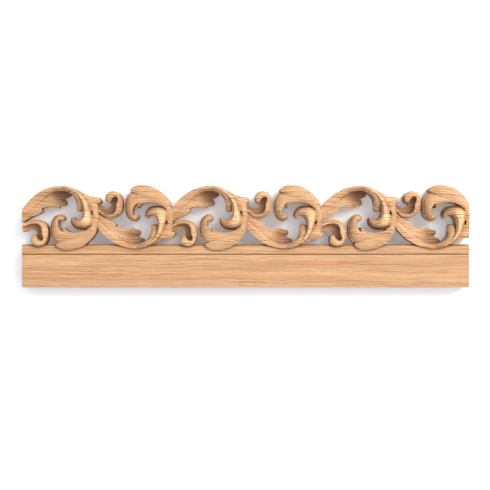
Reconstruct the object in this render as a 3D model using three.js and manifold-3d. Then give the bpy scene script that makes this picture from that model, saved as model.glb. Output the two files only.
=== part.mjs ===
// A carved wooden batten: a plain strip with a pierced running scroll of acanthus leaves on its upper edge.
// Units are millimetres. X runs along the batten, Z is up and the carved face looks towards -Y.
// The origin is on the flat back, at the middle of the strip.

import * as THREE from 'three';
import { mergeVertices } from 'three/addons/utils/BufferGeometryUtils.js';
import Module from 'manifold-3d';

// Driving dimensions of the strip.
const repeats = 3;
const repeatLength = 90;
const stripHeight = 26;
const stripThickness = 10;
const topEdgeRadius = 2.4;
const grooveBelowTop = 6;
const grooveWidth = 0.9;
const grooveDepth = 0.6;

// Driving dimensions of the carving.
const carvingHalfHeight = 19.7;
const leafOverlap = 3.6;
const leafStandsProud = 4;
const patternShift = 0.7;
const lowerArchDrop = 0.6;
const lowerCurlLift = 1.4;
const eyeLength = 2.4;
const eyeWidth = 1;
const eyeFloor = 5;

// The leaves are drawn at these sizes and then scaled to the driving dimensions.
const drawnHalfRepeat = 45;
const drawnHalfHeight = 19.7;
const drawnDepth = 14;
const curlRootLength = 4;

// Leaves start this far behind the back and are then planed off. The board is larger than them by as much.
const boardMargin = 2;

// The eye is a small slanting pit between the main stem and the collar.
const eyePlace = [41.8, 2.9];
const eyeLean = THREE.MathUtils.degToRad(18);

// Fineness of the facets.
const stepsPerStation = 1;
const capStepLength = 1;
const capTurn = THREE.MathUtils.degToRad(75);
const capDrop = 0.8;
const edgeArcSteps = 3;
const mergeDistance = 1e-4;

// Values that follow from the driving dimensions.
const length = repeats * repeatLength;
const halfRepeat = repeatLength / 2;
const stripTop = stripHeight / 2;
const carvingDepth = stripThickness + leafStandsProud;
const mirrorLine = stripTop - leafOverlap + carvingHalfHeight;
const lengthScale = halfRepeat / drawnHalfRepeat;
const heightScale = carvingHalfHeight / drawnHalfHeight;
const depthScale = carvingDepth / drawnDepth;

// The leaves of half a repeat, which starts at the sharp notch where two arches meet. A station across a leaf
// is its outer edge point, its inner edge point and the camber between them. A point is [along, up, height],
// and a negative camber hollows the leaf.
const leaves = [
  {
    name: 'arch rim',
    columns: 3,
    endCap: 1.2,
    stations: [
      [[-3.0, 1.0, 10.3], [-1.5, -1.5, 9.8], 0.0],
      [[0.0, 5.9, 10.2], [3.4, 3.0, 9.6], 0.3],
      [[5.2, 11.9, 10.4], [8.6, 7.8, 9.2], 0.3],
      [[11.4, 16.3, 10.9], [13.6, 12.4, 9.0], 0.5],
      [[17.8, 18.6, 11.3], [18.4, 15.7, 9.8], 0.7],
      [[24.1, 19.2, 11.6], [23.8, 16.3, 10.4], 0.9],
      [[30.0, 17.4, 12.0], [27.8, 14.9, 10.8], 0.9],
      [[34.0, 13.2, 11.8], [30.9, 12.0, 10.4], 0.9],
      [[36.2, 8.8, 10.8], [32.0, 8.4, 9.6], 0.8],
      [[36.0, 5.0, 9.2], [32.2, 5.0, 8.4], 0.6],
    ],
  },
  {
    name: 'arch leaf',
    columns: 3,
    stations: [
      [[-2.4, 0.8, 10.1], [-2.0, -3.6, 9.8], 0.0],
      [[3.0, 4.6, 10.0], [2.0, -0.6, 9.4], -0.1],
      [[8.0, 9.8, 9.8], [7.6, 3.6, 8.9], -0.3],
      [[13.2, 13.8, 9.2], [13.0, 6.5, 8.0], -0.7],
      [[18.6, 16.2, 6.4], [18.2, 6.8, 6.6], -1.1],
      [[22.6, 16.6, 3.8], [21.4, 7.6, 4.2], -0.8],
    ],
  },
  {
    name: 'arch hollow',
    columns: 2,
    endCap: 1.0,
    stations: [
      [[13.6, 14.6, 6.6], [14.8, 10.4, 5.8], -0.2],
      [[19.5, 16.7, 5.2], [19.8, 10.6, 4.6], -0.2],
      [[24.2, 16.2, 3.6], [23.8, 11.3, 3.4], -0.2],
      [[27.4, 14.9, 2.8], [26.6, 12.6, 2.8], 0.0],
    ],
  },
  {
    name: 'upper leaflet',
    columns: 2,
    endCap: 2.0,
    stations: [
      [[14.2, 11.2, 5.6], [14.6, 7.2, 6.3], 0.0],
      [[19.6, 11.9, 4.4], [19.8, 6.9, 5.6], 0.1],
      [[23.4, 11.2, 3.2], [23.6, 7.2, 3.8], 0.3],
    ],
  },
  {
    name: 'middle leaflet',
    columns: 2,
    endCap: 0.9,
    stations: [
      [[7.4, 6.6, 8.2], [8.2, 4.8, 8.3], 0.0],
      [[12.6, 8.4, 7.1], [12.8, 6.3, 7.6], 0.0],
      [[17.4, 8.4, 5.8], [17.4, 6.2, 6.2], 0.1],
      [[20.4, 7.6, 5.0], [20.4, 5.9, 5.2], 0.2],
    ],
  },
  {
    name: 'lower leaflet',
    columns: 2,
    endCap: 0.8,
    stations: [
      [[-2.0, 1.0, 9.4], [-2.0, -3.6, 9.6], 0.0],
      [[1.8, 3.0, 9.0], [1.4, -1.7, 9.2], 0.0],
      [[5.2, 5.2, 8.5], [4.6, 0.5, 8.8], 0.0],
      [[8.4, 6.4, 8.2], [8.0, 1.8, 8.3], 0.2],
      [[10.2, 5.6, 8.1], [10.2, 3.0, 7.9], 0.3],
    ],
  },
  {
    name: 'main stem',
    columns: 4,
    endCap: 0.5,
    stations: [
      [[18.0, 18.6, 10.8], [20.6, 17.8, 10.8], 0.0],
      [[24.1, 19.2, 11.4], [25.4, 17.4, 12.2], 0.3],
      [[30.1, 17.9, 11.6], [29.8, 15.8, 12.8], 0.4],
      [[35.0, 14.9, 11.4], [32.9, 13.9, 12.8], 0.6],
      [[38.0, 12.2, 11.1], [34.8, 11.2, 12.6], 1.0],
      [[39.6, 9.0, 11.0], [36.2, 7.6, 12.0], 1.6],
      [[40.9, 5.0, 11.0], [36.4, 3.8, 11.6], 1.9],
      [[42.0, 1.4, 11.2], [35.7, 0.8, 11.4], 2.2],
      [[42.2, -3.0, 11.4], [34.2, -0.9, 11.2], 2.2],
      [[39.6, -6.7, 10.0], [33.0, -1.5, 10.8], 2.3],
      [[35.2, -7.4, 8.6], [32.2, -1.5, 10.4], 2.2],
      [[31.4, -6.5, 8.0], [31.3, -1.0, 9.8], 1.6],
      [[29.0, -4.0, 7.8], [30.6, -0.3, 9.2], 1.0],
      [[28.5, -1.6, 7.8], [29.7, 0.3, 8.6], 0.5],
    ],
  },
  {
    name: 'sprout',
    columns: 2,
    endCap: 0.8,
    stations: [
      [[33.0, 16.6, 11.2], [33.8, 15.0, 11.6], 0.1],
      [[38.6, 13.6, 10.8], [37.5, 11.0, 11.4], 0.4],
      [[42.4, 12.6, 10.4], [40.5, 7.6, 11.4], 0.7],
      [[45.2, 12.3, 10.0], [44.4, 8.5, 10.6], 0.4],
      [[46.7, 10.8, 9.4], [45.6, 8.6, 9.6], 0.2],
    ],
  },
  {
    name: 'collar',
    columns: 2,
    stations: [
      [[45.2, 9.0, 9.6], [38.8, 9.9, 10.8], 0.7],
      [[45.3, 6.4, 10.0], [39.9, 6.6, 10.9], 1.0],
      [[45.6, 3.4, 10.0], [41.0, 3.2, 11.0], 1.3],
      [[46.4, 0.4, 9.8], [41.6, 0.2, 11.3], 1.3],
      [[46.2, -2.8, 9.8], [41.7, -2.4, 11.9], 0.9],
      [[45.1, -5.5, 10.8], [41.2, -5.0, 11.8], 0.8],
      [[43.6, -9.6, 11.2], [39.2, -6.8, 11.8], 0.7],
    ],
  },
  {
    name: 'bottom leaf',
    columns: 3,
    endCap: 0.6,
    stations: [
      [[45.0, -5.7, 11.0], [42.0, -4.4, 12.0], 0.4],
      [[43.3, -10.2, 11.2], [38.8, -7.4, 12.0], 0.7],
      [[39.3, -14.7, 11.4], [35.0, -8.9, 11.8], 0.9],
      [[34.2, -18.1, 11.4], [31.4, -9.8, 11.4], 1.2],
      [[28.2, -19.6, 11.4], [27.0, -11.6, 11.2], 1.3],
      [[23.2, -19.3, 11.4], [23.8, -13.4, 11.1], 1.0],
      [[20.1, -17.4, 11.2], [21.0, -15.0, 10.8], 0.5],
    ],
  },
  {
    name: 'hook leaf',
    columns: 3,
    endCap: 0.9,
    stations: [
      [[36.4, -12.0, 11.4], [36.0, -8.5, 11.4], 0.3],
      [[31.2, -14.0, 10.9], [31.4, -9.3, 11.6], 0.9],
      [[25.6, -15.2, 10.5], [27.0, -8.7, 11.8], 1.1],
      [[20.4, -15.4, 9.8], [23.6, -8.2, 11.9], 1.0],
      [[17.4, -12.4, 9.0], [22.2, -7.0, 12.0], 0.9],
      [[16.4, -8.6, 8.6], [21.4, -5.2, 12.2], 0.8],
      [[16.5, -4.0, 8.6], [21.2, -3.0, 12.2], 0.8],
      [[17.9, -0.2, 8.6], [21.4, -1.6, 11.6], 0.8],
      [[20.4, 1.7, 8.6], [22.2, -1.5, 10.8], 0.8],
      [[22.6, 2.1, 8.6], [22.8, -1.6, 10.2], 0.9],
      [[24.3, 1.0, 8.0], [23.8, -1.6, 9.4], 0.7],
    ],
  },
  {
    name: 'small lobe',
    columns: 2,
    endCap: 0.6,
    stations: [
      [[28.4, -11.8, 11.6], [31.2, -9.2, 11.6], 0.2],
      [[26.0, -10.4, 11.4], [28.8, -8.8, 11.6], 0.4],
      [[24.2, -8.6, 11.0], [26.6, -7.9, 11.0], 0.4],
      [[23.7, -6.5, 10.0], [25.2, -6.5, 10.0], 0.3],
    ],
  },
  {
    name: 'curl hollow',
    columns: 2,
    isCurl: true,
    stations: [
      [[-3.0, -3.0, 10.0], [-3.0, -9.4, 10.0], -0.2],
      [[0.4, -4.0, 8.6], [0.2, -8.4, 9.0], -0.9],
      [[4.0, -3.0, 7.6], [3.4, -7.3, 8.4], -0.9],
      [[8.0, -2.6, 7.0], [6.2, -7.6, 7.9], -0.8],
      [[11.8, -4.4, 6.6], [7.8, -8.8, 7.4], -0.5],
      [[13.2, -8.4, 6.4], [8.0, -10.6, 7.2], -0.3],
      [[12.8, -14.4, 6.2], [8.4, -14.6, 6.8], 0.0],
    ],
  },
  {
    name: 'curl',
    columns: 3,
    isCurl: true,
    endCap: 0.7,
    stations: [
      [[-2.0, -3.2, 10.4], [-2.0, -6.0, 10.4], 0.3],
      [[0.6, -3.4, 9.3], [1.0, -5.2, 9.7], 0.3],
      [[4.2, -1.7, 8.8], [4.4, -3.7, 9.8], 0.4],
      [[8.6, -1.3, 8.8], [8.2, -3.5, 10.2], 0.5],
      [[12.2, -2.7, 9.0], [10.3, -4.6, 10.8], 0.6],
      [[14.4, -5.3, 9.2], [11.4, -6.7, 11.2], 0.7],
      [[15.1, -9.2, 9.8], [11.6, -9.6, 11.6], 0.8],
      [[14.6, -13.0, 10.8], [12.3, -11.8, 11.8], 0.9],
      [[12.9, -16.2, 11.4], [11.9, -13.4, 11.6], 1.2],
      [[9.8, -17.3, 11.6], [10.6, -13.6, 11.4], 1.6],
      [[6.7, -16.6, 11.4], [9.4, -12.9, 11.2], 1.6],
      [[4.9, -14.2, 11.0], [8.6, -11.8, 10.8], 1.4],
      [[5.1, -11.7, 10.4], [7.9, -10.5, 10.2], 0.8],
    ],
  },
];

// A closed mesh becomes a solid once only its positions are left and its shared corners are merged.
const wasm = await Module();
wasm.setup();

function solidFrom(geometry) {
  const bare = new THREE.BufferGeometry();
  bare.setAttribute('position', geometry.getAttribute('position').clone());
  bare.setIndex(geometry.getIndex());
  const merged = mergeVertices(bare, mergeDistance);
  return new wasm.Manifold(new wasm.Mesh({
    numProp: 3,
    vertProperties: merged.getAttribute('position').array,
    triVerts: merged.getIndex().array,
  }));
}

function geometryFrom(solid) {
  const mesh = solid.getMesh();
  const geometry = new THREE.BufferGeometry();
  geometry.setAttribute('position', new THREE.BufferAttribute(mesh.vertProperties, 3));
  geometry.setIndex(new THREE.BufferAttribute(mesh.triVerts, 1));
  geometry.computeVertexNormals();
  return geometry;
}

// The strip is one section, with its front top edge rounded over and a fine V groove along its face.
function stripSolid() {
  const bottom = -stripHeight / 2;
  const grooveLine = stripTop - grooveBelowTop;
  const front = -stripThickness;
  const outline = new THREE.Shape();
  outline.moveTo(0, bottom);
  outline.lineTo(0, stripTop);
  outline.lineTo(front + topEdgeRadius, stripTop);
  outline.absarc(front + topEdgeRadius, stripTop - topEdgeRadius, topEdgeRadius, Math.PI / 2, Math.PI);
  outline.lineTo(front, grooveLine + grooveWidth / 2);
  outline.lineTo(front + grooveDepth, grooveLine);
  outline.lineTo(front, grooveLine - grooveWidth / 2);
  outline.lineTo(front, bottom);
  const geometry = new THREE.ExtrudeGeometry(outline, {
    depth: length,
    bevelEnabled: false,
    curveSegments: edgeArcSteps,
  });
  // The section is drawn in X and Y and run out along Z, so it is turned until it runs along X.
  geometry.rotateX(Math.PI / 2);
  geometry.rotateZ(Math.PI / 2);
  geometry.translate(-length / 2, 0, 0);
  return solidFrom(geometry);
}

// The board that everything is cut from: it ends the carving square and planes its back flat.
function boardSolid() {
  const top = mirrorLine + carvingHalfHeight;
  const height = top + stripTop + 2 * boardMargin;
  const thickness = carvingDepth + boardMargin;
  const board = new THREE.BoxGeometry(length, thickness, height);
  board.translate(0, -thickness / 2, top + boardMargin - height / 2);
  return solidFrom(board);
}

// A smooth curve through the same part of every station, with the height kept in the curve's Y.
function curveThrough(points) {
  return new THREE.CatmullRomCurve3(
    points.map(([along, up, height]) => new THREE.Vector3(along, height, up)),
    false,
    'catmullrom',
  );
}

// The rows across a leaf: one or more to each station, with an arc of them round its end.
function leafRows({ stations, endCap }) {
  const outer = curveThrough(stations.map((station) => station[0]));
  const inner = curveThrough(stations.map((station) => station[1]));
  const camber = curveThrough(stations.map((station) => [0, 0, station[2]]));
  const steps = (stations.length - 1) * stepsPerStation;
  const rows = [];
  for (let step = 0; step <= steps; step += 1) {
    const share = step / steps;
    rows.push({
      outer: outer.getPoint(share),
      inner: inner.getPoint(share),
      camber: camber.getPoint(share).y,
    });
  }
  if (endCap) {
    rows.push(...roundEnd(rows[steps - 1], rows[steps], endCap));
  }
  return rows;
}

// The rows of a rounded end, which reaches the given length past the last station.
function roundEnd(before, last, reach) {
  const middle = last.outer.clone().lerp(last.inner, 0.5);
  const middleBefore = before.outer.clone().lerp(before.inner, 0.5);
  const onward = middle.clone().sub(middleBefore).setY(0).normalize();
  const steps = Math.ceil(reach / capStepLength);
  const rows = [];
  for (let step = 1; step <= steps; step += 1) {
    const turn = capTurn * step / steps;
    const centre = middle.clone().addScaledVector(onward, reach * Math.sin(turn));
    centre.y -= capDrop * (1 - Math.cos(turn));
    const half = last.outer.clone().sub(middle).multiplyScalar(Math.cos(turn));
    rows.push({
      outer: centre.clone().add(half),
      inner: centre.clone().sub(half),
      camber: last.camber * Math.cos(turn),
    });
  }
  return rows;
}

// The carved top of a leaf as rows of points, closer together near the edges.
function leafTop(leaf) {
  const { columns } = leaf;
  return leafRows(leaf).map(({ outer, inner, camber }) => {
    const row = [];
    for (let column = 0; column <= columns; column += 1) {
      const turn = Math.PI * column / columns;
      const point = outer.clone().lerp(inner, (1 - Math.cos(turn)) / 2);
      point.y += camber * Math.sin(turn);
      row.push(point);
    }
    return row;
  });
}

// A leaf's solid has the carved top, walls straight down and a flat back.
function leafSolid(leaf, place) {
  const top = leafTop(leaf).map((row) => row.map(place));
  const rows = top.length;
  const columns = top[0].length;
  const positions = [];
  for (const row of top) {
    for (const point of row) {
      positions.push(point.x, point.y, point.z);
    }
  }
  for (const row of top) {
    for (const point of row) {
      positions.push(point.x, boardMargin, point.z);
    }
  }
  const at = (row, column) => row * columns + column;
  const below = rows * columns;
  const index = [];
  const quad = (a, b, c, d) => index.push(a, b, c, a, c, d);
  for (let row = 0; row < rows - 1; row += 1) {
    for (let column = 0; column < columns - 1; column += 1) {
      const corners = [at(row, column), at(row, column + 1), at(row + 1, column + 1), at(row + 1, column)];
      quad(...corners);
      quad(...corners.map((corner) => corner + below).reverse());
    }
  }
  const wall = (from, to) => quad(to, from, from + below, to + below);
  for (let row = 0; row < rows - 1; row += 1) {
    wall(at(row + 1, 0), at(row, 0));
    wall(at(row, columns - 1), at(row + 1, columns - 1));
  }
  for (let column = 0; column < columns - 1; column += 1) {
    wall(at(0, column), at(0, column + 1));
    wall(at(rows - 1, column + 1), at(rows - 1, column));
  }
  const geometry = new THREE.BufferGeometry();
  geometry.setAttribute('position', new THREE.Float32BufferAttribute(positions, 3));
  geometry.setIndex(facingOut(positions, index));
  return solidFrom(geometry);
}

// A mirrored leaf comes out with its faces turned in, which its signed volume shows.
function facingOut(positions, index) {
  const corner = (which) => new THREE.Vector3().fromArray(positions, 3 * which);
  let volume = 0;
  for (let first = 0; first < index.length; first += 3) {
    const [a, b, c] = [0, 1, 2].map((offset) => corner(index[first + offset]));
    volume += a.dot(b.cross(c));
  }
  return volume > 0 ? index : index.reverse();
}

function turnedOver(halfIndex) {
  return halfIndex % 2 === 1;
}

// The tool that sinks the eye: a slot with round ends, down to its floor.
function eyeSolid(halfIndex) {
  const place = placeFor(halfIndex, {});
  const straight = (eyeLength - eyeWidth) / 2;
  const slot = new THREE.Shape();
  slot.absarc(0, straight, eyeWidth / 2, 0, Math.PI);
  slot.absarc(0, -straight, eyeWidth / 2, Math.PI, 2 * Math.PI);
  const geometry = new THREE.ExtrudeGeometry(slot, {
    depth: carvingDepth,
    bevelEnabled: false,
    curveSegments: edgeArcSteps,
  });
  const centre = place(new THREE.Vector3(eyePlace[0], eyeFloor, eyePlace[1]));
  geometry.rotateX(Math.PI / 2);
  geometry.rotateY(turnedOver(halfIndex) ? eyeLean : -eyeLean);
  geometry.translate(centre.x, centre.y, centre.z);
  return solidFrom(geometry);
}

// Half a repeat is drawn with its arch up, and every second one is turned over about the mirror line.
// The turned ones have a slightly flatter arch, and a small curl that sits nearer the mirror line.
function placeFor(halfIndex, leaf) {
  const start = -length / 2 + patternShift + halfIndex * halfRepeat;
  const turned = turnedOver(halfIndex);
  const flip = turned ? -1 : 1;
  const lift = turned && leaf.isCurl ? lowerCurlLift : 0;
  return (point) => {
    const rise = Math.max(point.z, 0) / drawnHalfHeight;
    const drop = turned ? lowerArchDrop * rise ** 2 : 0;
    const taken = THREE.MathUtils.clamp(point.x / curlRootLength, 0, 1) * lift;
    return new THREE.Vector3(
      start + lengthScale * point.x,
      -depthScale * point.y,
      mirrorLine + flip * heightScale * (point.z + taken - drop),
    );
  };
}

function carvedBatten() {
  let carving = null;
  for (let halfIndex = 0; halfIndex < 2 * repeats; halfIndex += 1) {
    for (const leaf of leaves) {
      const solid = leafSolid(leaf, placeFor(halfIndex, leaf));
      carving = carving ? carving.add(solid) : solid;
    }
    carving = carving.subtract(eyeSolid(halfIndex));
  }
  return geometryFrom(carving.add(stripSolid()).intersect(boardSolid()));
}

const oak = new THREE.MeshStandardMaterial({ color: 0xe0b183, roughness: 0.6, metalness: 0 });
const batten = new THREE.Mesh(carvedBatten(), oak);
batten.name = 'carved_batten';

const group = new THREE.Group();
group.add(batten);

export default group;
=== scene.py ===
# A carved wooden batten as it looks: a plain strip with a pierced running scroll of acanthus leaves along
# its upper edge, cut from one light oak board. Sizes are in millimetres until a mesh is made. X runs along
# the batten, Z is up and the carved face looks towards -Y.

import math

import bmesh
import bpy
import numpy as np
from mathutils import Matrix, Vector


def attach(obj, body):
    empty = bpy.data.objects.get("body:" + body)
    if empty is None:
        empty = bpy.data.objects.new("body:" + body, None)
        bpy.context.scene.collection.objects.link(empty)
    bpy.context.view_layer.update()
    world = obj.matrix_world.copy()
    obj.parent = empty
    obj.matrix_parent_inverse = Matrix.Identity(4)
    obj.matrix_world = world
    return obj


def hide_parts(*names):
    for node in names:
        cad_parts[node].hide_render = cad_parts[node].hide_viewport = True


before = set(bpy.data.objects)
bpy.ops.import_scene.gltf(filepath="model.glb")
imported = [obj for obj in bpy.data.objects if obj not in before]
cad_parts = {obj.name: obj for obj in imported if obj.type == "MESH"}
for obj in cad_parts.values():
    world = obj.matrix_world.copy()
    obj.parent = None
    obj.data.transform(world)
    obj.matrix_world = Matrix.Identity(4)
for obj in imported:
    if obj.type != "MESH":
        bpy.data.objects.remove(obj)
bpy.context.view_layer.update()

MM = 0.001
TINY = 1e-9

# Sizes of the strip.
REPEATS = 3
REPEAT_LENGTH = 90.0
STRIP_HEIGHT = 26.0
STRIP_THICKNESS = 10.0
TOP_EDGE_RADIUS = 2.4
GROOVE_BELOW_TOP = 6.0
GROOVE_WIDTH = 0.9
GROOVE_DEPTH = 0.6
ARRIS = 0.25

# Sizes of the carving. Every second half repeat is turned over, with a flatter arch and a higher curl.
CARVING_HALF_HEIGHT = 19.7
CARVING_DEPTH = 14.0
LEAF_OVERLAP = 3.6
PATTERN_SHIFT = 0.7
LOWER_ARCH_DROP = 0.6
LOWER_CURL_LIFT = 1.4
CURL_ROOT_LENGTH = 4.0
BOARD_MARGIN = 2.0

# The eye is a small slanting pit between the main stem and the collar.
EYE_PLACE = (41.8, 2.9)
EYE_LENGTH = 2.4
EYE_WIDTH = 1.0
EYE_FLOOR = 5.0
EYE_LEAN = math.radians(18)

# Fineness of the mesh.
ROW_SPACING = 0.6
COLUMN_SPACING = 0.38
EDGE_CROWDING = 0.35
ARRIS_STEPS = 3
TOP_EDGE_STEPS = 9
EYE_STEPS = 10
CAP_STEPS = 5
SHARP_ANGLE = math.radians(50)

# Round ends, rolled edges and gouge marks of the leaves.
CAP_TURN = math.radians(80)
CAP_DROP = 0.8
EDGE_ROLL = 0.65
FLUTE_DEPTH = 0.2
FLUTE_FADE = 3.0

# Blending of the small steps between leaves. Points below the lowest carved height stay where they are.
SOFTENING_PASSES = 16
SOFTENING_SHARE = 0.5
LARGEST_SOFT_STEP = 0.85
LOWEST_CARVED = 2.0
STEP_NEAR = 0.01

# Noises of the wood: features in a millimetre along each axis, levels of detail, and their roughness.
DRIFT_NOISE = ((0.012, 0.09, 0.04), 2.0, 0.5)
WAVER_NOISE = ((0.07, 0.25, 0.3), 2.0, 0.5)
BAND_NOISE = ((0.006, 0.05, 0.20), 2.0, 0.5)
LINE_NOISE = ((0.014, 0.25, 1.3), 4.0, 0.72)
FIBRE_NOISE = ((0.07, 0.9, 3.2), 3.0, 0.6)
PORE_NOISE = ((0.22, 3.0, 4.2), 1.0, 0.5)
CLEARNESS_NOISE = ((0.025, 0.15, 0.45), 2.0, 0.5)

# The growth rings: how far they lean back, how far noise moves them, their spacing and how uneven it is.
RING_TILT = 0.45
DRIFT_REACH = 6.5
WAVER_REACH = 1.8
RING_SPACING = 1.4
RING_UNEVENNESS = 10.0

# Colours are display values from 0 to 255. The ground of the wood goes from pale to deep in broad bands.
PALE_WOOD = (205, 162, 121)
DEEP_WOOD = (195, 148, 105)
BAND_LIMITS = (0.35, 0.65)

# Layers of colour over it: where a layer's measure starts and ends, its strength at the end, its colour.
# Painted highlight: crests that stand above their neighbours are made paler.
CREST_HIGHLIGHT_LAYER = ((-0.002, 0.05), 0.55, (236, 196, 148))
# Painted highlight: the highest parts of the carving, over about 12 mm proud, are made paler.
HIGH_STEM_HIGHLIGHT_LAYER = ((-12.2, -13.2), 0.9, (250, 210, 160))
RING_LAYER = ((0.4, 0.95), 1.0, (150, 92, 50))
DARK_LINE_LAYER = ((0.54, 0.62), 0.5, (150, 98, 58))
LIGHT_LINE_LAYER = ((0.47, 0.38), 0.4, (217, 179, 135))
FIBRE_LAYER = ((0.42, 0.7), 0.5, (160, 109, 65))
PORE_LAYER = ((0.60, 0.70), 0.35, (122, 77, 46))
# Painted shade: hollows are darkened by how closed in they are.
HOLLOW_SHADE_LAYER = ((0.95, 0.5), 0.62, (124, 78, 44))
# Painted shade: rolled edges and walls are darkened where they turn from the key light.
EDGE_SHADE_LAYER = ((0.92, 0.40), 1.0, (98, 62, 34))
# Painted shade: low faces that look forward are darkened by how deep they sit.
SUNK_SHADE_LAYER = ((-7.5, -3.5), 0.5, (112, 70, 42))

# Where layers are weaker: rings that fade in places, and rings and the painted edge shade on the plain
# strip.
CLEARNESS_LIMITS = (0.36, 0.58)
CLEARNESS_SHARES = (0.2, 1.0)
RING_SHARES = (0.62, 1.0)
EDGE_SHADE_SHARES = (0.5, 1.0)

# Where shade is painted into the carving's colour: hollows, rolled edges turned from the light, and sunk
# faces.
HOLLOW_REACH = 10.0
HOLLOW_SAMPLES = 8
UPRIGHT_LIMITS = (0.05, 0.35)
LIGHT_FROM_RIGHT = 0.8
LIGHT_FROM_ABOVE = 0.3
AWAY_LIMITS = (0.7, -0.2)
AWAY_SHARES = (0.3, 0.85)
FRONT_LIMITS = (-0.1, -0.5)

# Gloss and relief of the grain.
SHEEN_LIMITS = (0.3, 0.7)
ROUGHNESSES = (0.38, 0.55)
PORE_ROUGHNESS = 0.15
FIBRE_RELIEF = 0.5
LINE_RELIEF = 0.6
PORE_RELIEF = 0.5
RELIEF_STRENGTH = 0.35
RELIEF_DEPTH = 0.12

# The white wall behind, which glows faintly, and the light on it all.
WALL_SIZE = 3000.0
WALL_GAP = 1.5
WALL_COLOUR = (250, 250, 252)
WALL_ROUGHNESS = 0.9
WALL_GLOW_COLOUR = (0.72, 0.9, 1.0, 1.0)
WALL_GLOW = 0.10
KEY_PLACE = (840, -930, 780)
KEY_AIM = (0, 0, 15)
KEY_SIZE = 900
KEY_POWER = 21.0
KEY_COLOUR = (1.0, 0.96, 0.86)
DAYLIGHT_COLOUR = (0.93, 0.96, 1.0, 1.0)
DAYLIGHT = 1.06

# The camera in front.
SENSOR_WIDTH = 36.0
CAMERA_DISTANCE = 650.0
VIEW_WIDTH = 295.8
VIEW_CENTRE = (-0.3, 12.6)

# Values that follow from the sizes.
LENGTH = REPEATS * REPEAT_LENGTH
HALF_REPEAT = REPEAT_LENGTH / 2
STRIP_TOP = STRIP_HEIGHT / 2
MIRROR_LINE = STRIP_TOP - LEAF_OVERLAP + CARVING_HALF_HEIGHT
BOARD_FRONT = -2 * CARVING_DEPTH
CARVING_STARTS = (STRIP_TOP - LEAF_OVERLAP, STRIP_TOP)

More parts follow.
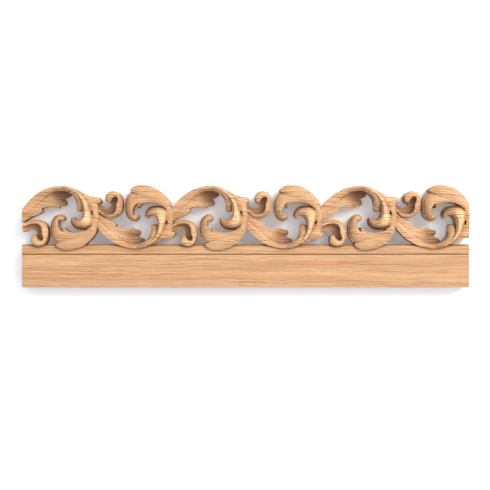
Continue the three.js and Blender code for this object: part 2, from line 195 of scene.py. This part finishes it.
# The leaves of half a repeat, which starts at the sharp notch where two arches meet. A station across a leaf
# is its outer edge point, its inner edge point and the camber between them. A point is (along, up, height),
# and a negative camber hollows the leaf. Flutes are the gouge marks that run along it.
LEAVES = [
    {
        "name": "arch rim",
        "flutes": 2,
        "is_curl": False,
        "end_cap": 1.2,
        "stations": [
            ((-3.0, 1.0, 10.3), (-1.5, -1.5, 9.8), 0.0),
            ((0.0, 5.9, 10.2), (3.4, 3.0, 9.6), 0.3),
            ((5.2, 11.9, 10.4), (8.6, 7.8, 9.2), 0.3),
            ((11.4, 16.3, 10.9), (13.6, 12.4, 9.0), 0.5),
            ((17.8, 18.6, 11.3), (18.4, 15.7, 9.8), 0.7),
            ((24.1, 19.2, 11.6), (23.8, 16.3, 10.4), 0.9),
            ((30.0, 17.4, 12.0), (27.8, 14.9, 10.8), 0.9),
            ((34.0, 13.2, 11.8), (30.9, 12.0, 10.4), 0.9),
            ((36.2, 8.8, 10.8), (32.0, 8.4, 9.6), 0.8),
            ((36.0, 5.0, 9.2), (32.2, 5.0, 8.4), 0.6),
        ],
    },
    {
        "name": "arch leaf",
        "flutes": 6,
        "is_curl": False,
        "end_cap": 0.0,
        "stations": [
            ((-2.4, 0.8, 10.1), (-2.0, -3.6, 9.8), 0.0),
            ((3.0, 4.6, 10.0), (2.0, -0.6, 9.4), -0.1),
            ((8.0, 9.8, 9.8), (7.6, 3.6, 8.9), -0.3),
            ((13.2, 13.8, 9.2), (13.0, 6.5, 8.0), -0.7),
            ((18.6, 16.2, 6.4), (18.2, 6.8, 6.6), -1.1),
            ((22.6, 16.6, 3.8), (21.4, 7.6, 4.2), -0.8),
        ],
    },
    {
        "name": "arch hollow",
        "flutes": 3,
        "is_curl": False,
        "end_cap": 1.0,
        "stations": [
            ((13.6, 14.6, 6.6), (14.8, 10.4, 5.8), -0.2),
            ((19.5, 16.7, 5.2), (19.8, 10.6, 4.6), -0.2),
            ((24.2, 16.2, 3.6), (23.8, 11.3, 3.4), -0.2),
            ((27.4, 14.9, 2.8), (26.6, 12.6, 2.8), 0.0),
        ],
    },
    {
        "name": "upper leaflet",
        "flutes": 2,
        "is_curl": False,
        "end_cap": 2.0,
        "stations": [
            ((14.2, 11.2, 5.6), (14.6, 7.2, 6.3), 0.0),
            ((19.6, 11.9, 4.4), (19.8, 6.9, 5.6), 0.1),
            ((23.4, 11.2, 3.2), (23.6, 7.2, 3.8), 0.3),
        ],
    },
    {
        "name": "middle leaflet",
        "flutes": 1,
        "is_curl": False,
        "end_cap": 0.9,
        "stations": [
            ((7.4, 6.6, 8.2), (8.2, 4.8, 8.3), 0.0),
            ((12.6, 8.4, 7.1), (12.8, 6.3, 7.6), 0.0),
            ((17.4, 8.4, 5.8), (17.4, 6.2, 6.2), 0.1),
            ((20.4, 7.6, 5.0), (20.4, 5.9, 5.2), 0.2),
        ],
    },
    {
        "name": "lower leaflet",
        "flutes": 3,
        "is_curl": False,
        "end_cap": 0.8,
        "stations": [
            ((-2.0, 1.0, 9.4), (-2.0, -3.6, 9.6), 0.0),
            ((1.8, 3.0, 9.0), (1.4, -1.7, 9.2), 0.0),
            ((5.2, 5.2, 8.5), (4.6, 0.5, 8.8), 0.0),
            ((8.4, 6.4, 8.2), (8.0, 1.8, 8.3), 0.2),
            ((10.2, 5.6, 8.1), (10.2, 3.0, 7.9), 0.3),
        ],
    },
    {
        "name": "main stem",
        "flutes": 4,
        "is_curl": False,
        "end_cap": 0.5,
        "stations": [
            ((18.0, 18.6, 10.8), (20.6, 17.8, 10.8), 0.0),
            ((24.1, 19.2, 11.4), (25.4, 17.4, 12.2), 0.3),
            ((30.1, 17.9, 11.6), (29.8, 15.8, 12.8), 0.4),
            ((35.0, 14.9, 11.4), (32.9, 13.9, 12.8), 0.6),
            ((38.0, 12.2, 11.1), (34.8, 11.2, 12.6), 1.0),
            ((39.6, 9.0, 11.0), (36.2, 7.6, 12.0), 1.6),
            ((40.9, 5.0, 11.0), (36.4, 3.8, 11.6), 1.9),
            ((42.0, 1.4, 11.2), (35.7, 0.8, 11.4), 2.2),
            ((42.2, -3.0, 11.4), (34.2, -0.9, 11.2), 2.2),
            ((39.6, -6.7, 10.0), (33.0, -1.5, 10.8), 2.3),
            ((35.2, -7.4, 8.6), (32.2, -1.5, 10.4), 2.2),
            ((31.4, -6.5, 8.0), (31.3, -1.0, 9.8), 1.6),
            ((29.0, -4.0, 7.8), (30.6, -0.3, 9.2), 1.0),
            ((28.5, -1.6, 7.8), (29.7, 0.3, 8.6), 0.5),
        ],
    },
    {
        "name": "sprout",
        "flutes": 2,
        "is_curl": False,
        "end_cap": 0.8,
        "stations": [
            ((33.0, 16.6, 11.2), (33.8, 15.0, 11.6), 0.1),
            ((38.6, 13.6, 10.8), (37.5, 11.0, 11.4), 0.4),
            ((42.4, 12.6, 10.4), (40.5, 7.6, 11.4), 0.7),
            ((45.2, 12.3, 10.0), (44.4, 8.5, 10.6), 0.4),
            ((46.7, 10.8, 9.4), (45.6, 8.6, 9.6), 0.2),
        ],
    },
    {
        "name": "collar",
        "flutes": 2,
        "is_curl": False,
        "end_cap": 0.0,
        "stations": [
            ((45.2, 9.0, 9.6), (38.8, 9.9, 10.8), 0.7),
            ((45.3, 6.4, 10.0), (39.9, 6.6, 10.9), 1.0),
            ((45.6, 3.4, 10.0), (41.0, 3.2, 11.0), 1.3),
            ((46.4, 0.4, 9.8), (41.6, 0.2, 11.3), 1.3),
            ((46.2, -2.8, 9.8), (41.7, -2.4, 11.9), 0.9),
            ((45.1, -5.5, 10.8), (41.2, -5.0, 11.8), 0.8),
            ((43.6, -9.6, 11.2), (39.2, -6.8, 11.8), 0.7),
        ],
    },
    {
        "name": "bottom leaf",
        "flutes": 5,
        "is_curl": False,
        "end_cap": 0.6,
        "stations": [
            ((45.0, -5.7, 11.0), (42.0, -4.4, 12.0), 0.4),
            ((43.3, -10.2, 11.2), (38.8, -7.4, 12.0), 0.7),
            ((39.3, -14.7, 11.4), (35.0, -8.9, 11.8), 0.9),
            ((34.2, -18.1, 11.4), (31.4, -9.8, 11.4), 1.2),
            ((28.2, -19.6, 11.4), (27.0, -11.6, 11.2), 1.3),
            ((23.2, -19.3, 11.4), (23.8, -13.4, 11.1), 1.0),
            ((20.1, -17.4, 11.2), (21.0, -15.0, 10.8), 0.5),
        ],
    },
    {
        "name": "hook leaf",
        "flutes": 4,
        "is_curl": False,
        "end_cap": 0.9,
        "stations": [
            ((36.4, -12.0, 11.4), (36.0, -8.5, 11.4), 0.3),
            ((31.2, -14.0, 10.9), (31.4, -9.3, 11.6), 0.9),
            ((25.6, -15.2, 10.5), (27.0, -8.7, 11.8), 1.1),
            ((20.4, -15.4, 9.8), (23.6, -8.2, 11.9), 1.0),
            ((17.4, -12.4, 9.0), (22.2, -7.0, 12.0), 0.9),
            ((16.4, -8.6, 8.6), (21.4, -5.2, 12.2), 0.8),
            ((16.5, -4.0, 8.6), (21.2, -3.0, 12.2), 0.8),
            ((17.9, -0.2, 8.6), (21.4, -1.6, 11.6), 0.8),
            ((20.4, 1.7, 8.6), (22.2, -1.5, 10.8), 0.8),
            ((22.6, 2.1, 8.6), (22.8, -1.6, 10.2), 0.9),
            ((24.3, 1.0, 8.0), (23.8, -1.6, 9.4), 0.7),
        ],
    },
    {
        "name": "small lobe",
        "flutes": 1,
        "is_curl": False,
        "end_cap": 0.6,
        "stations": [
            ((28.4, -11.8, 11.6), (31.2, -9.2, 11.6), 0.2),
            ((26.0, -10.4, 11.4), (28.8, -8.8, 11.6), 0.4),
            ((24.2, -8.6, 11.0), (26.6, -7.9, 11.0), 0.4),
            ((23.7, -6.5, 10.0), (25.2, -6.5, 10.0), 0.3),
        ],
    },
    {
        "name": "curl hollow",
        "flutes": 2,
        "is_curl": True,
        "end_cap": 0.0,
        "stations": [
            ((-3.0, -3.0, 10.0), (-3.0, -9.4, 10.0), -0.2),
            ((0.4, -4.0, 8.6), (0.2, -8.4, 9.0), -0.9),
            ((4.0, -3.0, 7.6), (3.4, -7.3, 8.4), -0.9),
            ((8.0, -2.6, 7.0), (6.2, -7.6, 7.9), -0.8),
            ((11.8, -4.4, 6.6), (7.8, -8.8, 7.4), -0.5),
            ((13.2, -8.4, 6.4), (8.0, -10.6, 7.2), -0.3),
            ((12.8, -14.4, 6.2), (8.4, -14.6, 6.8), 0.0),
        ],
    },
    {
        "name": "curl",
        "flutes": 1,
        "is_curl": True,
        "end_cap": 0.7,
        "stations": [
            ((-2.0, -3.2, 10.4), (-2.0, -6.0, 10.4), 0.3),
            ((0.6, -3.4, 9.3), (1.0, -5.2, 9.7), 0.3),
            ((4.2, -1.7, 8.8), (4.4, -3.7, 9.8), 0.4),
            ((8.6, -1.3, 8.8), (8.2, -3.5, 10.2), 0.5),
            ((12.2, -2.7, 9.0), (10.3, -4.6, 10.8), 0.6),
            ((14.4, -5.3, 9.2), (11.4, -6.7, 11.2), 0.7),
            ((15.1, -9.2, 9.8), (11.6, -9.6, 11.6), 0.8),
            ((14.6, -13.0, 10.8), (12.3, -11.8, 11.8), 0.9),
            ((12.9, -16.2, 11.4), (11.9, -13.4, 11.6), 1.2),
            ((9.8, -17.3, 11.6), (10.6, -13.6, 11.4), 1.6),
            ((6.7, -16.6, 11.4), (9.4, -12.9, 11.2), 1.6),
            ((4.9, -14.2, 11.0), (8.6, -11.8, 10.8), 1.4),
            ((5.1, -11.7, 10.4), (7.9, -10.5, 10.2), 0.8),
        ],
    },
]


def curve_through(points, shares):
    """Points on a smooth curve through the given ones, at shares of the way with all spans alike."""
    points = np.array(points, dtype=float)
    padded = np.vstack([2 * points[0] - points[1], points, 2 * points[-1] - points[-2]])
    spans = len(points) - 1
    place = np.clip(np.asarray(shares) * spans, 0, spans - TINY)
    span = place.astype(int)
    t = (place - span)[:, None]
    before, start, end, after = (padded[span + offset] for offset in range(4))
    leaving = (end - before) / 2
    arriving = (after - start) / 2
    return (
        start
        + leaving * t
        + (3 * (end - start) - 2 * leaving - arriving) * t**2
        + (2 * (start - end) + leaving + arriving) * t**3
    )


def leaf_rows(leaf):
    """The outer edge, inner edge and camber of every row across a leaf, with the rows of its round end."""
    outer_stations, inner_stations, cambers = zip(*leaf["stations"])
    middles = [np.add(outer, inner) / 2 for outer, inner in zip(outer_stations, inner_stations)]
    length = np.linalg.norm(np.diff(middles, axis=0)[:, :2], axis=1).sum()
    steps = math.ceil(length / ROW_SPACING)
    shares = np.arange(steps + 1) / steps
    outer = curve_through(outer_stations, shares)
    inner = curve_through(inner_stations, shares)
    camber = curve_through([[value] for value in cambers], shares)[:, 0]
    if leaf["end_cap"]:
        outer, inner, camber = with_round_end(outer, inner, camber, leaf["end_cap"])
    return outer, inner, camber


def with_round_end(outer, inner, camber, reach):
    """The rows with an arc of further rows round the leaf's end, which reaches past its last row."""
    last = (outer[-1] + inner[-1]) / 2
    onward = last - (outer[-2] + inner[-2]) / 2
    onward[2] = 0
    onward /= np.linalg.norm(onward)
    turns = CAP_TURN * np.arange(1, CAP_STEPS + 1)[:, None] / CAP_STEPS
    centres = last + onward * reach * np.sin(turns)
    centres[:, 2:] -= CAP_DROP * (1 - np.cos(turns))
    halves = (outer[-1] - last) * np.cos(turns)
    outer = np.vstack([outer, centres + halves])
    inner = np.vstack([inner, centres - halves])
    camber = np.concatenate([camber, camber[-1] * np.cos(turns[:, 0])])
    return outer, inner, camber


def leaf_top(leaf):
    """The top of a leaf as a grid of points with rolled edges, and how deep its flutes are there."""
    outer, inner, camber = leaf_rows(leaf)
    width = np.linalg.norm((outer - inner)[:, :2], axis=1)[:, None]
    columns = math.ceil(width.max() / COLUMN_SPACING)
    across = np.arange(columns + 1)[None, :] / columns
    across = across - EDGE_CROWDING * np.sin(2 * np.pi * across) / (2 * np.pi)
    top = outer[:, None] + (inner - outer)[:, None] * across[:, :, None]
    middle = top[:, columns // 2, :2]
    along = np.concatenate([[0], np.cumsum(np.linalg.norm(np.diff(middle, axis=0), axis=1))])
    from_edge = np.minimum(across, 1 - across) * width
    from_ends = np.minimum(along, along[-1] - along)[:, None]
    wave = np.abs(np.sin(np.pi * leaf["flutes"] * across))
    flute = FLUTE_DEPTH * wave * np.clip(from_ends / FLUTE_FADE, 0, 1) * np.clip(width / FLUTE_FADE, 0, 1)
    roll = EDGE_ROLL * (1 - np.sqrt(1 - (1 - np.clip(from_edge / EDGE_ROLL, 0, 1)) ** 2))
    top[:, :, 2] += camber[:, None] * (4 * across * (1 - across)) - roll
    return top, flute


def placed(points, half_index, is_curl):
    """Drawn points of a leaf in the frame of the batten, in millimetres."""
    turned = half_index % 2 == 1
    along, up, height = (points[..., axis] for axis in range(3))
    drop = LOWER_ARCH_DROP * (np.clip(up, 0, None) / CARVING_HALF_HEIGHT) ** 2 if turned else 0
    lift = LOWER_CURL_LIFT * np.clip(along / CURL_ROOT_LENGTH, 0, 1) if turned and is_curl else 0
    x = PATTERN_SHIFT - LENGTH / 2 + half_index * HALF_REPEAT + along
    z = MIRROR_LINE + (-1 if turned else 1) * (up + lift - drop)
    return np.stack([x, -height, z], axis=-1)


def made_object(name, points, faces, flute=None):
    """A closed object from points in millimetres, with a flute depth at each and its faces looking out."""
    mesh = bpy.data.meshes.new(name)
    mesh.from_pydata((np.asarray(points) * MM).tolist(), [], faces)
    depth = mesh.attributes.new("flute", "FLOAT", "POINT")
    depth.data.foreach_set("value", np.zeros(len(points)) if flute is None else flute)
    shape = bmesh.new()
    shape.from_mesh(mesh)
    if shape.calc_volume(signed=True) < 0:
        bmesh.ops.reverse_faces(shape, faces=shape.faces[:])
    shape.to_mesh(mesh)
    shape.free()
    return bpy.data.objects.new(name, mesh)


def leaf_object(leaf, half_index):
    """A leaf as a solid: its carved top, straight walls, and a back that is planed off later."""
    top, flute = leaf_top(leaf)
    top = placed(top, half_index, leaf["is_curl"])
    rows, columns = top.shape[:2]
    edges = top[:, [0, columns - 1]].copy()
    edges[:, :, 1] = BOARD_MARGIN
    points = np.vstack([top.reshape(-1, 3), edges.reshape(-1, 3)])
    back = rows * columns
    faces = []
    for row in range(rows - 1):
        first = row * columns
        for corner in range(first, first + columns - 1):
            faces.append((corner, corner + 1, corner + columns + 1, corner + columns))
        near, far = back + 2 * row, back + 2 * row + 1
        faces.append((near, near + 2, far + 2, far))
        faces.append((first, first + columns, near + 2, near))
        faces.append((first + columns - 1, far, far + 2, first + 2 * columns - 1))
    last = (rows - 1) * columns
    faces.append((back, back + 1, *range(columns - 1, -1, -1)))
    faces.append((back + 2 * rows - 1, back + 2 * rows - 2, *range(last, last + columns)))
    return made_object(leaf["name"], points, faces, np.concatenate([flute.ravel(), np.zeros(2 * rows)]))


def prism_faces(count):
    """The faces of a solid between two like outlines, where each has a count of points."""
    sides = [(i, (i + 1) % count, count + (i + 1) % count, count + i) for i in range(count)]
    return [*sides, tuple(range(count - 1, -1, -1)), tuple(range(count, 2 * count))]


def prism_object(name, outline, start, end):
    """A solid with the same outline, given as (y, z) points, all the way from one X to another."""
    points = [(x, y, z) for x in (start, end) for y, z in outline]
    return made_object(name, points, prism_faces(len(outline)))


def arc(centre, radius, start, end, steps):
    """Points of an arc in (y, z), with angles in degrees from +Y towards +Z."""
    turns = [math.radians(start + (end - start) * step / steps) for step in range(steps + 1)]
    return [(centre[0] + radius * math.cos(turn), centre[1] + radius * math.sin(turn)) for turn in turns]


def strip_outline():
    """The section of the strip, with a rounded top front edge, softened arrises and a fine V groove."""
    front, bottom, top = -STRIP_THICKNESS, -STRIP_TOP, STRIP_TOP
    groove = top - GROOVE_BELOW_TOP
    rounding = (front + TOP_EDGE_RADIUS, top - TOP_EDGE_RADIUS)
    return [
        *arc((-ARRIS, bottom + ARRIS), ARRIS, 0, -90, ARRIS_STEPS),
        *arc((front + ARRIS, bottom + ARRIS), ARRIS, -90, -180, ARRIS_STEPS),
        (front, groove - GROOVE_WIDTH / 2),
        (front + GROOVE_DEPTH, groove),
        (front, groove + GROOVE_WIDTH / 2),
        *arc(rounding, TOP_EDGE_RADIUS, 180, 90, TOP_EDGE_STEPS),
        *arc((-ARRIS, top - ARRIS), ARRIS, 90, 0, ARRIS_STEPS),
    ]


def eye_object(half_index):
    """The tool that sinks the small slanting pit between the main stem and the collar."""
    straight = (EYE_LENGTH - EYE_WIDTH) / 2
    lean = -EYE_LEAN if half_index % 2 == 0 else EYE_LEAN
    outline = []
    for side in (1, -1):
        for step in range(EYE_STEPS + 1):
            turn = math.pi * step / EYE_STEPS + (0 if side == 1 else math.pi)
            x = EYE_WIDTH / 2 * math.cos(turn)
            z = EYE_WIDTH / 2 * math.sin(turn) + side * straight
            leaning = (x * math.cos(lean) + z * math.sin(lean), z * math.cos(lean) - x * math.sin(lean))
            outline.append(leaning)
    centre = placed(np.array([*EYE_PLACE, EYE_FLOOR]), half_index, False)
    points = [(centre[0] + x, y, centre[2] + z) for y in (centre[1], BOARD_FRONT) for x, z in outline]
    return made_object("eye", points, prism_faces(len(outline)))


def board_object():
    """The board that everything is cut from: it ends the carving square and planes its back flat."""
    bottom = -STRIP_TOP - BOARD_MARGIN
    top = MIRROR_LINE + CARVING_HALF_HEIGHT + BOARD_MARGIN
    outline = [(0, bottom), (0, top), (BOARD_FRONT, top), (BOARD_FRONT, bottom)]
    return prism_object("board", outline, -LENGTH / 2, LENGTH / 2)


def cut_with(piece, operation, tools):
    """Joins the tools to the piece, subtracts them or keeps what is in them, and takes the tools away."""
    group = bpy.data.collections.new(operation)
    bpy.context.scene.collection.children.link(group)
    for tool in tools:
        group.objects.link(tool)
    cut = piece.modifiers.new(operation, "BOOLEAN")
    cut.operation = operation
    cut.solver = "MANIFOLD"
    cut.operand_type = "COLLECTION"
    cut.collection = group
    bpy.context.view_layer.update()
    evaluated = piece.evaluated_get(bpy.context.evaluated_depsgraph_get())
    old = piece.data
    mesh = bpy.data.meshes.new_from_object(evaluated)
    piece.modifiers.clear()
    piece.data = mesh
    bpy.data.meshes.remove(old)
    for tool in tools:
        bpy.data.meshes.remove(tool.data)
    bpy.data.collections.remove(group)


def rise_to_neighbours(height, first, second, nearness):
    """How far the neighbours of each point stand above it on average, with little weight on large steps."""
    count = len(height)
    step = height[second] - height[first]
    weight = nearness * np.exp(-((step / LARGEST_SOFT_STEP) ** 2))
    rise = np.bincount(first, weight * step, count) - np.bincount(second, weight * step, count)
    total = np.bincount(first, weight, count) + np.bincount(second, weight, count)
    return rise / (total + TINY)


def soften_steps(piece):
    """Blends the small steps between leaves, keeps the larger ones, marks crests for a painted highlight and
    sinks the flutes.
    """
    mesh = piece.data
    points = np.empty(3 * len(mesh.vertices))
    mesh.vertices.foreach_get("co", points)
    points = points.reshape(-1, 3) / MM
    ends = np.empty(2 * len(mesh.edges), dtype=int)
    mesh.edges.foreach_get("vertices", ends)
    first, second = ends.reshape(-1, 2).T
    height = -points[:, 1]
    on_strip = (points[:, 2] < STRIP_TOP + STEP_NEAR) & (height < STRIP_THICKNESS + STEP_NEAR)
    fixed = (height < LOWEST_CARVED) | on_strip
    nearness = 1 / (np.linalg.norm(points[first] - points[second], axis=1) + STEP_NEAR)
    for _ in range(SOFTENING_PASSES):
        rise = rise_to_neighbours(height, first, second, nearness)
        height += np.where(fixed, 0, SOFTENING_SHARE * rise)
    rise = rise_to_neighbours(height, first, second, nearness)
    # The crest measure drives only a painted highlight in the wood's colour.
    crest_highlight = mesh.attributes.new("crest_highlight", "FLOAT", "POINT")
    crest_highlight.data.foreach_set("value", np.where(fixed, 0, -rise))
    flute = np.empty(len(height))
    mesh.attributes["flute"].data.foreach_get("value", flute)
    points[:, 1] = -np.where(fixed, height, height - flute)
    mesh.vertices.foreach_set("co", (points * MM).ravel())
    mesh.update()


def carved_batten():
    """The whole batten as one solid."""
    piece = prism_object("carved_batten_wood", strip_outline(), -LENGTH / 2, LENGTH / 2)
    bpy.context.scene.collection.objects.link(piece)
    halves = range(2 * REPEATS)
    cut_with(piece, "UNION", [leaf_object(leaf, half) for half in halves for leaf in LEAVES])
    cut_with(piece, "DIFFERENCE", [eye_object(half) for half in halves])
    cut_with(piece, "INTERSECT", [board_object()])
    soften_steps(piece)
    piece.data.shade_smooth()
    piece.data.set_sharp_from_angle(angle=SHARP_ANGLE)
    return piece


def node(tree, kind, inputs=None, **settings):
    """A shader node with its settings. An input, by name or number, is a value or another node's output."""
    made = tree.nodes.new("ShaderNode" + kind)
    for name, value in settings.items():
        setattr(made, name, value)
    for socket, value in (inputs or {}).items():
        if isinstance(value, bpy.types.NodeSocket):
            tree.links.new(value, made.inputs[socket])
        else:
            made.inputs[socket].default_value = value
    return made


def maths(tree, operation, first, second=0.0):
    """The result of an operation on one or two values."""
    return node(tree, "Math", {0: first, 1: second}, operation=operation).outputs[0]


def ramp(tree, measure, limits, values=(0.0, 1.0)):
    """A smooth step from one value to another as the measure goes between its limits."""
    ends = {"From Min": limits[0], "From Max": limits[1], "To Min": values[0], "To Max": values[1]}
    made = node(tree, "MapRange", {"Value": measure, **ends}, interpolation_type="SMOOTHSTEP")
    return made.outputs["Result"]


def blended(tree, factor, first, second):
    """Two colours blended by a factor."""
    return node(tree, "Mix", {0: factor, 6: first, 7: second}, data_type="RGBA").outputs[2]


def srgb(red, green, blue):
    """A shader colour from display values of 11 to 255."""
    return (*(((value / 255 + 0.055) / 1.055) ** 2.4 for value in (red, green, blue)), 1.0)


def noise_at(tree, place, noise):
    """A noise at a place in millimetres."""
    features, detail, roughness = noise
    scaled = node(tree, "VectorMath", {0: place, 1: features}, operation="MULTIPLY").outputs[0]
    inputs = {"Vector": scaled, "Scale": 1.0, "Detail": detail, "Roughness": roughness}
    return node(tree, "TexNoise", inputs).outputs["Fac"]


def layered(tree, colour, measure, layer, *shares):
    """The colour under a layer, which is as strong as the measure and the shares of it make it."""
    limits, strength, tint = layer
    amount = ramp(tree, measure, limits, (0.0, strength))
    for share in shares:
        amount = maths(tree, "MULTIPLY", amount, share)
    return blended(tree, amount, colour, srgb(*tint))


def distance_into_rings(tree, place, axes):
    """How far out through the growth rings a place lies, with their lean, their drift and their waver."""
    ring = maths(tree, "ADD", maths(tree, "MULTIPLY", axes.outputs["Y"], RING_TILT), axes.outputs["Z"])
    for noise, reach in ((DRIFT_NOISE, DRIFT_REACH), (WAVER_NOISE, WAVER_REACH)):
        ring = maths(tree, "ADD", ring, maths(tree, "MULTIPLY", noise_at(tree, place, noise), reach))
    return ring


def grain_colour(tree, axes, ring, grown, marks):
    """The colour of the grain: bands, painted highlights on crests and high stems, growth rings, streaks,
    fibres and pores.
    """
    bands = ramp(tree, noise_at(tree, grown, BAND_NOISE), BAND_LIMITS)
    colour = blended(tree, bands, srgb(*PALE_WOOD), srgb(*DEEP_WOOD))
    # Painted highlight: paler on crests and on the highest stems.
    crest_highlight = node(tree, "Attribute", attribute_name="crest_highlight").outputs["Fac"]
    colour = layered(tree, colour, crest_highlight, CREST_HIGHLIGHT_LAYER)
    colour = layered(tree, colour, axes.outputs["Y"], HIGH_STEM_HIGHLIGHT_LAYER)

    around = maths(tree, "MULTIPLY", ring, 2 * math.pi / RING_SPACING)
    phase = maths(tree, "ADD", around, maths(tree, "MULTIPLY", marks["lines"], RING_UNEVENNESS))
    clearness = ramp(tree, noise_at(tree, grown, CLEARNESS_NOISE), CLEARNESS_LIMITS, CLEARNESS_SHARES)
    on_carving = ramp(tree, axes.outputs["Z"], CARVING_STARTS, RING_SHARES)
    colour = layered(tree, colour, maths(tree, "SINE", phase), RING_LAYER, clearness, on_carving)

    colour = layered(tree, colour, marks["lines"], DARK_LINE_LAYER)
    colour = layered(tree, colour, marks["lines"], LIGHT_LINE_LAYER)
    colour = layered(tree, colour, marks["fibres"], FIBRE_LAYER)
    return layered(tree, colour, marks["pores"], PORE_LAYER)


def carving_with_painted_shade(tree, colour, axes):
    """The colour with painted shade: darker in hollows, on rolled edges that turn from the light, and on
    sunk faces.
    """
    # Painted shade from how closed in a point is.
    inputs = {"Distance": HOLLOW_REACH * MM}
    openness = node(tree, "AmbientOcclusion", inputs, samples=HOLLOW_SAMPLES).outputs["AO"]
    colour = layered(tree, colour, openness, HOLLOW_SHADE_LAYER)

    # Painted shade on rolled edges that turn from the light, weaker on the plain strip.
    facing = node(tree, "SeparateXYZ", {0: node(tree, "TexCoord").outputs["Normal"]})
    flatness = maths(tree, "ABSOLUTE", facing.outputs["Y"])
    on_carving = ramp(tree, axes.outputs["Z"], CARVING_STARTS, EDGE_SHADE_SHARES)
    from_right = maths(tree, "MULTIPLY", facing.outputs["X"], LIGHT_FROM_RIGHT)
    from_above = maths(tree, "MULTIPLY", facing.outputs["Z"], LIGHT_FROM_ABOVE)
    away = ramp(tree, maths(tree, "ADD", from_right, from_above), AWAY_LIMITS, AWAY_SHARES)
    rolled = ramp(tree, flatness, UPRIGHT_LIMITS)
    colour = layered(tree, colour, flatness, EDGE_SHADE_LAYER, rolled, on_carving, away)

    # Painted shade on sunk faces that look forward.
    to_front = ramp(tree, facing.outputs["Y"], FRONT_LIMITS)
    return layered(tree, colour, axes.outputs["Y"], SUNK_SHADE_LAYER, to_front)


def gloss_and_relief(tree, surface, marks):
    """A soft sheen that is duller in the pores, and the fine relief of fibres, lines and pores."""
    pores = ramp(tree, marks["pores"], PORE_LAYER[0])
    sheen = ramp(tree, marks["fibres"], SHEEN_LIMITS, ROUGHNESSES)
    roughness = maths(tree, "ADD", sheen, maths(tree, "MULTIPLY", pores, PORE_ROUGHNESS))
    tree.links.new(roughness, surface.inputs["Roughness"])

    relief = maths(tree, "MULTIPLY", marks["fibres"], FIBRE_RELIEF)
    relief = maths(tree, "ADD", relief, maths(tree, "MULTIPLY", marks["lines"], LINE_RELIEF))
    relief = maths(tree, "SUBTRACT", relief, maths(tree, "MULTIPLY", pores, PORE_RELIEF))
    inputs = {"Strength": RELIEF_STRENGTH, "Distance": RELIEF_DEPTH * MM, "Height": relief}
    tree.links.new(node(tree, "Bump", inputs).outputs["Normal"], surface.inputs["Normal"])


def wood_material():
    """Light oak whose grain runs along the batten and through it, with shade painted darker in hollows and
    highlights painted paler on crests.
    """
    material = bpy.data.materials.new("light_oak")
    material.use_nodes = True
    tree = material.node_tree
    surface = tree.nodes["Principled BSDF"]
    at = node(tree, "TexCoord").outputs["Object"]
    place = node(tree, "VectorMath", {0: at, 1: (1 / MM, 1 / MM, 1 / MM)}, operation="MULTIPLY").outputs[0]
    axes = node(tree, "SeparateXYZ", {0: place})
    ring = distance_into_rings(tree, place, axes)
    grown = node(tree, "CombineXYZ", {0: axes.outputs["X"], 1: axes.outputs["Y"], 2: ring}).outputs[0]
    noises = {"lines": LINE_NOISE, "fibres": FIBRE_NOISE, "pores": PORE_NOISE}
    marks = {name: noise_at(tree, grown, noise) for name, noise in noises.items()}
    colour = grain_colour(tree, axes, ring, grown, marks)
    tree.links.new(carving_with_painted_shade(tree, colour, axes), surface.inputs["Base Color"])
    gloss_and_relief(tree, surface, marks)
    return material


def wall_material():
    """White, with a faint glow, and clear where it is seen from behind."""
    material = bpy.data.materials.new("white_wall")
    material.use_nodes = True
    tree = material.node_tree
    surface = tree.nodes["Principled BSDF"]
    surface.inputs["Base Color"].default_value = srgb(*WALL_COLOUR)
    surface.inputs["Roughness"].default_value = WALL_ROUGHNESS
    surface.inputs["Emission Color"].default_value = WALL_GLOW_COLOUR
    surface.inputs["Emission Strength"].default_value = WALL_GLOW
    behind = node(tree, "NewGeometry").outputs["Backfacing"]
    clear = node(tree, "BsdfTransparent").outputs["BSDF"]
    sheet = node(tree, "MixShader", {0: behind, 1: surface.outputs["BSDF"], 2: clear})
    tree.links.new(sheet.outputs["Shader"], tree.nodes["Material Output"].inputs["Surface"])
    return material


def backdrop():
    """The white wall that the batten is photographed against, which lets scattered light reach the back."""
    half = WALL_SIZE / 2
    corners = [(x, WALL_GAP, z) for x, z in ((-half, -half), (half, -half), (half, half), (-half, half))]
    mesh = bpy.data.meshes.new("backdrop")
    mesh.from_pydata([Vector(corner) * MM for corner in corners], [], [(0, 1, 2, 3)])
    mesh.materials.append(wall_material())
    wall = bpy.data.objects.new("backdrop", mesh)
    wall.visible_diffuse = False
    bpy.context.scene.collection.objects.link(wall)


def key_light():
    """A large soft light from the upper right."""
    light = bpy.data.lights.new("key", "AREA")
    light.shape = "SQUARE"
    light.size = KEY_SIZE * MM
    light.energy = KEY_POWER
    light.color = KEY_COLOUR
    lamp = bpy.data.objects.new("key", light)
    lamp.location = Vector(KEY_PLACE) * MM
    lamp.rotation_euler = (Vector(KEY_AIM) - Vector(KEY_PLACE)).to_track_quat("-Z", "Y").to_euler()
    bpy.context.scene.collection.objects.link(lamp)


def daylight():
    """Even light from all round, shown in plain display colours."""
    world = bpy.data.worlds.new("daylight")
    world.use_nodes = True
    background = world.node_tree.nodes["Background"]
    background.inputs["Color"].default_value = DAYLIGHT_COLOUR
    background.inputs["Strength"].default_value = DAYLIGHT
    bpy.context.scene.world = world
    bpy.context.scene.view_settings.view_transform = "Standard"


def camera():
    """The photograph's view: straight on, with the whole batten across the picture."""
    lens = bpy.data.cameras.new("camera")
    lens.sensor_width = SENSOR_WIDTH
    lens.lens = SENSOR_WIDTH * CAMERA_DISTANCE / VIEW_WIDTH
    viewer = bpy.data.objects.new("camera", lens)
    viewer.location = Vector((VIEW_CENTRE[0], -(CAMERA_DISTANCE + STRIP_THICKNESS), VIEW_CENTRE[1])) * MM
    viewer.rotation_euler = (math.pi / 2, 0, 0)
    bpy.context.scene.collection.objects.link(viewer)
    bpy.context.scene.camera = viewer


batten = carved_batten()
batten.data.materials.clear()
batten.data.materials.append(wood_material())
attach(batten, "root")
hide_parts("carved_batten")
backdrop()
key_light()
daylight()
camera()
